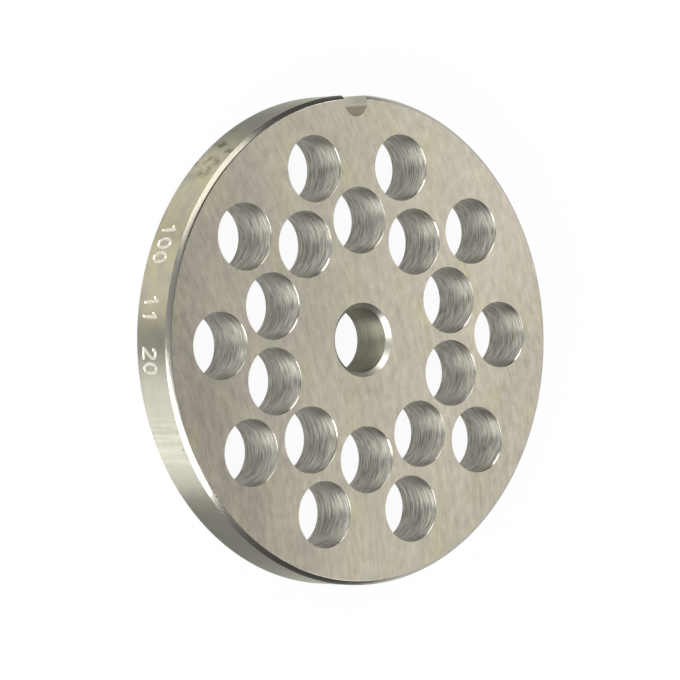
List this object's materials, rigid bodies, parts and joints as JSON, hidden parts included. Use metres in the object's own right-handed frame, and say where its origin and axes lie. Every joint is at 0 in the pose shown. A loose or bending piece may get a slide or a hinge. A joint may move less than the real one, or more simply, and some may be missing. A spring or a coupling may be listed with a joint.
{
  "type": "meat grinder plate",
  "caption": "Round steel plate for a meat grinder's head: a centre bore, staggered rings of through holes for the meat, chamfered edges and a rim notch.",
  "frame": {"origin": "centre of the bore, on the face that the plate lies on", "axes": "+Z along the bore's axis, up through the plate; +Y from the bore's centre to the rim notch"},
  "size_m": [0.1, 0.0999, 0.0109],
  "materials": {
    "ground_steel": "surface-ground faces, turned rim and bore with bright chamfers, drilled hole walls with ring-shaped tool marks"
  },
  "bodies": {
    "root": {"grinder_plate": "ground_steel"}
  },
  "joints": []
}
